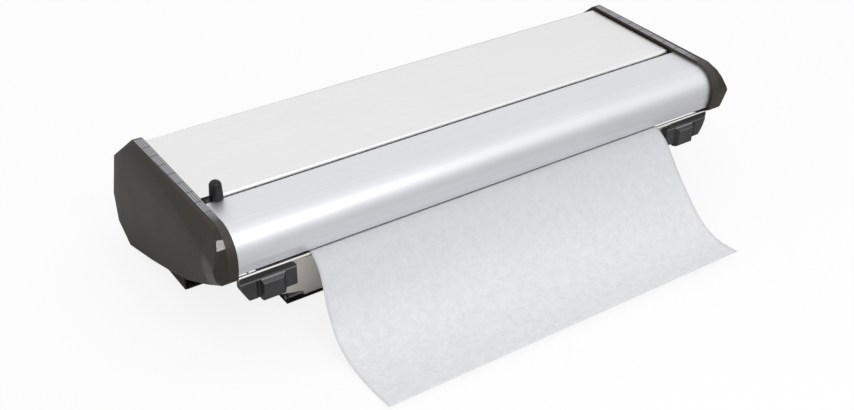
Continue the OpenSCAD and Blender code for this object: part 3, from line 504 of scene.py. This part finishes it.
# How wide the rounding of the edges is
EDGE_W = {
    "left_grip": 0.4, "right_grip": 0.4, "left_side_frame": 0.25, "right_side_frame": 0.25, "base_tray": 0.25,
    "left_roll_bracket": 0.25, "right_roll_bracket": 0.25, "slider_knob": 0.4,
}
CAP_EDGE = {"width": 0.7, "angle": 9, "segments": 3}
# The front corners of a cap's facets: out from the cap's flat inner side, behind the slot, above the table
CAP_CORNERS = [
    (10.4, -37.1, 124.7), (12.5, -48.3, 119.7), (15.1, -53.6, 113.4), (19.9, -56.7, 103.5),
    (21.6, -57.2, 99.2), (20.1, -56.1, 91.7), (15.3, -56.5, 83.1), (13.8, -53.2, 80.3),
]
ON_HULL = 0.02  # a point nearer to the hull than this is on it
RELIEF_W = 1.6  # width of the shallow relief under the inner rim
SIDEWAYS = -0.999  # a face on the flat inner side looks outwards less than this
DOWNWARDS = -0.5  # a face that looks down looks up less than this
# The slot's front edge, from which these corners and the paper's line are measured
RAIL_TO_SLOT = 9.4
SLOT_Y = middle("cutter_rail").y / MM + RAIL_TO_SLOT


def add_mesh(name, mesh, material):
    piece = add_object(name, mesh)
    mesh.materials.append(material)
    return piece


def apply_modifiers(piece):
    for o in bpy.context.selected_objects:
        o.select_set(False)
    bpy.context.view_layer.objects.active = piece
    piece.select_set(True)
    for name in [m.name for m in piece.modifiers]:
        bpy.ops.object.modifier_apply(modifier=name)


def cad_mesh(node, weld=WELD):
    """A CAD node's mesh as a bmesh, with its doubled points joined."""
    bm = bmesh.new()
    bm.from_mesh(NODES[node].data)
    bmesh.ops.remove_doubles(bm, verts=bm.verts, dist=weld * MM)
    return bm


def clean(mesh):
    """The mesh without the faces of no width that the rounding of edges leaves."""
    bm = bmesh.new()
    bm.from_mesh(mesh)
    bmesh.ops.remove_doubles(bm, verts=bm.verts, dist=SAME_POINT * MM)
    bmesh.ops.dissolve_degenerate(bm, edges=bm.edges, dist=SAME_POINT * MM)
    bm.to_mesh(mesh)
    bm.free()


def softened(node, width, angle=30, segments=2, bm=None):
    """A piece with rounded edges that stands for the CAD node, made from its mesh or from bm."""
    bm = bm or cad_mesh(node)
    bmesh.ops.dissolve_limit(bm, angle_limit=math.radians(ONE_FACE_DEG), verts=bm.verts, edges=bm.edges)
    name = node + "_finished"
    piece = add_mesh(name, mesh_from(bm, name), MATERIALS[SLOT_OF[node]])
    bevel = piece.modifiers.new("edges", "BEVEL")
    bevel.width = width * MM
    bevel.segments = segments
    bevel.limit_method = "ANGLE"
    bevel.angle_limit = math.radians(angle)
    bevel.miter_outer = "MITER_ARC"
    apply_modifiers(piece)
    clean(piece.data)
    bpy.ops.object.shade_smooth_by_angle(angle=math.radians(SMOOTH_DEG))
    even = piece.modifiers.new("normals", "WEIGHTED_NORMAL")
    even.keep_sharp = True
    even.weight = NORMAL_WEIGHT
    apply_modifiers(piece)
    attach(piece, BODY_OF[node])
    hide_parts(node)


def outer_skin(bm, side):
    """The faces on the mesh's convex hull, without its flat inner side."""
    points = [v.co.copy() for v in bm.verts]
    return [f for f in bm.faces if f.normal.x * side >= SIDEWAYS
            and all(f.normal.dot(p - f.verts[0].co) < ON_HULL * MM for p in points)]


def hull_mesh(points, side):
    """The convex hull of the points, open on its flat inner side."""
    bm = bmesh.new()
    for p in points:
        bm.verts.new(p)
    made = bmesh.ops.convex_hull(bm, input=bm.verts)
    bmesh.ops.delete(bm, geom=list(set(made["geom_interior"] + made["geom_unused"])), context="VERTS")
    bm.normal_update()
    flat = [f for f in bm.faces if f.normal.x * side < SIDEWAYS]
    bmesh.ops.delete(bm, geom=flat, context="FACES_ONLY")
    return mesh_from(bm, "shell")


def fuller_cap(node, side):
    """The cap with its front corners: its convex outer skin is drawn again round them, the rest is kept."""
    bm = cad_mesh(node, CAP_WELD)
    inner_x = min(abs(v.co.x) for v in bm.verts)
    skin = outer_skin(bm, side)
    bm.verts.index_update()
    held = sorted({v for face in skin for v in face.verts}, key=lambda v: v.index)
    corners = [(side * (inner_x + w * MM), (y + SLOT_Y) * MM, z * MM) for w, y, z in CAP_CORNERS]
    shell = hull_mesh([v.co for v in held] + corners, side)
    bmesh.ops.delete(bm, geom=skin, context="FACES")
    bm.from_mesh(shell)
    bpy.data.meshes.remove(shell)
    bmesh.ops.remove_doubles(bm, verts=bm.verts, dist=ON_HULL * MM)
    # The hull also spans the shallow relief under the inner rim: those faces go, and flat ones close the hole
    bm.normal_update()
    near = {v for v in bm.verts if abs(v.co.x) - inner_x < RELIEF_W * MM}
    bridge = [f for f in bm.faces if f.normal.z < DOWNWARDS and all(v in near for v in f.verts)
              and any(not e.is_manifold for e in f.edges)]
    bmesh.ops.delete(bm, geom=bridge, context="FACES")
    bmesh.ops.delete(bm, geom=[e for e in bm.edges if not e.link_faces], context="EDGES")
    bmesh.ops.holes_fill(bm, edges=[e for e in bm.edges if len(e.link_faces) == 1], sides=0)
    return bm


# ---- Paper, in mm: its line is a y behind the slot's front edge and a z above the table

LIP = Vector((-52.6, 80.2))  # the middle of the flap's rolled lip
LIP_TOP = 81.8
LIP_R = 2.15  # of the paper's way over the lip
LIP_FROM_DEG, LIP_SPLIT_DEG, LIP_TO_DEG = 61.02, 90, 135  # where it comes on, is split in two, and leaves
ROLL_LEAVE = Vector((53.5, 23.9))
WEB_SPAN = 121.8  # from the lip to the free end
WEB_HALF_W = 190
WEB_LOW = 0.4  # the sheet's least height over the table
WEB_T = 0.12
# The fall's two edges, each from the lip to the free end: shares of WEB_SPAN forward and of LIP_TOP up
LEFT_SHARES = [
    (0.04, 0.975), (0.085, 0.92), (0.125, 0.84), (0.165, 0.68), (0.2, 0.51), (0.255, 0.345),
    (0.33, 0.19), (0.445, 0.09), (0.57, 0.037), (0.76, 0.024), (0.98, 0.05),
]
RIGHT_SHARES = [
    (0.055, 0.975), (0.115, 0.92), (0.175, 0.83), (0.25, 0.7), (0.325, 0.57), (0.405, 0.45),
    (0.49, 0.33), (0.59, 0.21), (0.7, 0.125), (0.83, 0.085), (1, 0.1),
]
# Rows and columns of the mesh
WEB_COLS = 96
INNER_STEPS = 16
INNER_ARC_STEPS, OUTER_ARC_STEPS = 3, 4
FALL_STEPS = 7
RIPPLE = 0.5  # height of the fall's ripples
RIPPLE_RISE = 4  # they have it from 1/4 of the way on
RIPPLE_Y, RIPPLE_Z = -0.5, 0.8  # their direction
RIPPLE_NOISES = [(1, 7.5, 1.6, 3.7), (0.5, 21, 4, 9.1)]  # weight, scale across and along, place


def lip_arc(first, last, steps):
    turns = [math.radians(first + (last - first) * i / steps) for i in range(steps + 1)]
    return [LIP + LIP_R * Vector((math.cos(a), math.sin(a))) for a in turns]


def smooth(points, steps):
    """A Catmull-Rom curve through the points, with steps to a span."""
    made = []
    for i in range(len(points) - 1):
        a, b = points[max(i - 1, 0)], points[i]
        c, d = points[i + 1], points[min(i + 2, len(points) - 1)]
        for s in range(steps):
            t = s / steps
            made.append(0.5 * (2 * b + (c - a) * t + (2 * a - 5 * b + 4 * c - d) * t * t
                               + (3 * b - a - 3 * c + d) * t ** 3))
    return made + [points[-1]]


def outer_line(shares):
    """One edge of the paper, from the top of the lip to its free end."""
    start = lip_arc(LIP_SPLIT_DEG, LIP_TO_DEG, OUTER_ARC_STEPS)
    fall = [Vector((LIP.x - s * WEB_SPAN, max(h * LIP_TOP, WEB_LOW))) for s, h in shares]
    return start[:-1] + smooth([start[-1]] + fall, FALL_STEPS)


def inner_line():
    """The paper from the roll to the top of the lip."""
    arc = lip_arc(LIP_FROM_DEG, LIP_SPLIT_DEG, INNER_ARC_STEPS)
    return [ROLL_LEAVE.lerp(arc[0], i / INNER_STEPS) for i in range(INNER_STEPS)] + arc


def paper_sheet(name, left, right, ripple):
    """A thin sheet between two edge lines, with slight ripples that die out at its first row."""
    bm = bmesh.new()
    rows = []
    last = len(left) - 1
    for i, (a, b) in enumerate(zip(left, right)):
        along = i / last
        row = []
        for j in range(WEB_COLS + 1):
            u = j / WEB_COLS
            p = a.lerp(b, u)
            wave = sum(weight * noise.noise(Vector((u * across, along * down, place)))
                       for weight, across, down, place in RIPPLE_NOISES)
            lift = ripple * min(1, along * RIPPLE_RISE) * wave
            y, z = p.x + RIPPLE_Y * lift, max(p.y + RIPPLE_Z * lift, WEB_LOW)
            row.append(bm.verts.new(((-WEB_HALF_W + 2 * WEB_HALF_W * u) * MM, (y + SLOT_Y) * MM, z * MM)))
        rows.append(row)
    for r, s in zip(rows, rows[1:]):
        for j in range(WEB_COLS):
            bm.faces.new((r[j], s[j], s[j + 1], r[j + 1])).smooth = True
    piece = add_mesh(name, mesh_from(bm, name), WEB_PAPER)
    solid = piece.modifiers.new("thickness", "SOLIDIFY")
    solid.thickness = WEB_T * MM
    solid.offset = 0
    apply_modifiers(piece)
    return piece


def make_paper():
    """The sheet of baking paper: from the roll over the flap's lip, and down to the table."""
    left, right, inside = outer_line(LEFT_SHARES), outer_line(RIGHT_SHARES), inner_line()
    fallen = paper_sheet("paper_fall", left, right, RIPPLE)
    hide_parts("paper_web")
    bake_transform(fallen)
    held = paper_sheet("paper_inside", inside, inside, 0)
    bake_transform(held)


# ---- Studio

FLOOR_HALF = 8
FLOOR_SEGMENTS = 8
FLOOR_WHITE = 0.85  # the camera sees this share plain white, and the rest with the shadows
FLOOR_TONES = (linear(247, 247, 248), linear(250, 250, 250))
FLOOR_IN_METAL = linear(200, 200, 202)
WHITE = (1, 1, 1, 1)
WORLD_LIGHT = 0.8
# What metal sees of the sky: height of the direction, from the horizon at 0 to overhead at 1, and its level
SKY_IN_METAL = [(0, 0.64), (0.34, 0.78), (0.5, 0.965), (0.62, 0.95), (0.8, 0.86)]
BODY_MIDDLE = (0, 0, 0.05)
LEFT_CAP_NOSE = (-0.26, -0.05, 0.11)
# Name, place, size, power in watts, target
LAMPS = [
    ("over", (-0.35, -0.7, 1.9), 1.6, 1.9, BODY_MIDDLE),
    ("key", (-0.016, -1.097, 1.181), 0.26, 3.7, LEFT_CAP_NOSE),
    ("front_right", (0.9, -1.2, 1.3), 1.6, 0.85, BODY_MIDDLE),
    ("low_front", (-0.6, -1.6, 0.5), 1.2, 1.2, BODY_MIDDLE),
]


def make_floor():
    """A white table that keeps the shadows. Metal sees it darker, as a table top between soft lamps is."""
    bm = bmesh.new()
    bmesh.ops.create_grid(bm, x_segments=FLOOR_SEGMENTS, y_segments=FLOOR_SEGMENTS, size=FLOOR_HALF)
    mesh = mesh_from(bm, "floor")
    floor = add_object("floor", mesh)
    f = Finish("floor", rough=0.9, specular=0.1)
    path = f.node("ShaderNodeLightPath")
    white = f.blend(f.span(f.noise(scale=3, detail=3), 0, 1), *FLOOR_TONES, "RGBA")
    f.colour(path.outputs["Is Glossy Ray"], white, FLOOR_IN_METAL)
    plain = f.node("ShaderNodeEmission")
    plain.inputs["Color"].default_value = WHITE
    plain.inputs["Strength"].default_value = 1
    both = f.node("ShaderNodeMixShader")
    f.link(f.times(path.outputs["Is Camera Ray"], FLOOR_WHITE), both.inputs[0])
    f.link(f.shader.outputs[0], both.inputs[1])
    f.link(plain.outputs[0], both.inputs[2])
    f.link(both.outputs[0], f.output.inputs["Surface"])
    mesh.materials.append(f.material)


def make_world():
    """White for the camera, an even studio for light, and a graded sky for what metal reflects."""
    world = bpy.data.worlds.new("studio")
    bpy.context.scene.world = world
    world.use_nodes = True
    tree = world.node_tree
    tree.nodes.clear()
    output = tree.nodes.new("ShaderNodeOutputWorld")
    path = tree.nodes.new("ShaderNodeLightPath")
    coords = tree.nodes.new("ShaderNodeTexCoord")
    axes = tree.nodes.new("ShaderNodeSeparateXYZ")
    sky = tree.nodes.new("ShaderNodeValToRGB")
    tree.links.new(coords.outputs["Generated"], axes.inputs[0])
    tree.links.new(axes.outputs[2], sky.inputs[0])
    while len(sky.color_ramp.elements) < len(SKY_IN_METAL):
        sky.color_ramp.elements.new(1)
    for element, (place, level) in zip(sky.color_ramp.elements, SKY_IN_METAL):
        element.position = place
        element.color = (level, level, level, 1)
    grounds = []
    for level in (WORLD_LIGHT, 1, 1):
        ground = tree.nodes.new("ShaderNodeBackground")
        ground.inputs["Strength"].default_value = level
        ground.inputs["Color"].default_value = WHITE
        grounds.append(ground)
    light, reflected, white = grounds
    tree.links.new(sky.outputs[0], reflected.inputs["Color"])
    shown = light
    rays = {"Is Glossy Ray": reflected, "Is Transmission Ray": white, "Is Camera Ray": white}
    for ray, ground in rays.items():
        mix = tree.nodes.new("ShaderNodeMixShader")
        tree.links.new(path.outputs[ray], mix.inputs[0])
        tree.links.new(shown.outputs[0], mix.inputs[1])
        tree.links.new(ground.outputs[0], mix.inputs[2])
        shown = mix
    tree.links.new(shown.outputs[0], output.inputs["Surface"])


def make_lamps():
    for name, place, size, power, target in LAMPS:
        data = bpy.data.lights.new(name, "AREA")
        data.shape = "SQUARE"
        data.size = size
        data.energy = power
        lamp = add_object(name, data)
        lamp.location = place
        lamp.rotation_euler = (Vector(target) - Vector(place)).to_track_quat("-Z", "Y").to_euler()


make_camera()
make_floor()
make_world()
make_lamps()
dress_nodes()
make_paper()
for cap, side in (("left_end_cap", -1), ("right_end_cap", 1)):
    softened(cap, bm=fuller_cap(cap, side), **CAP_EDGE)
for node, width in EDGE_W.items():
    softened(node, width)

bpy.context.scene.view_settings.view_transform = "Standard"
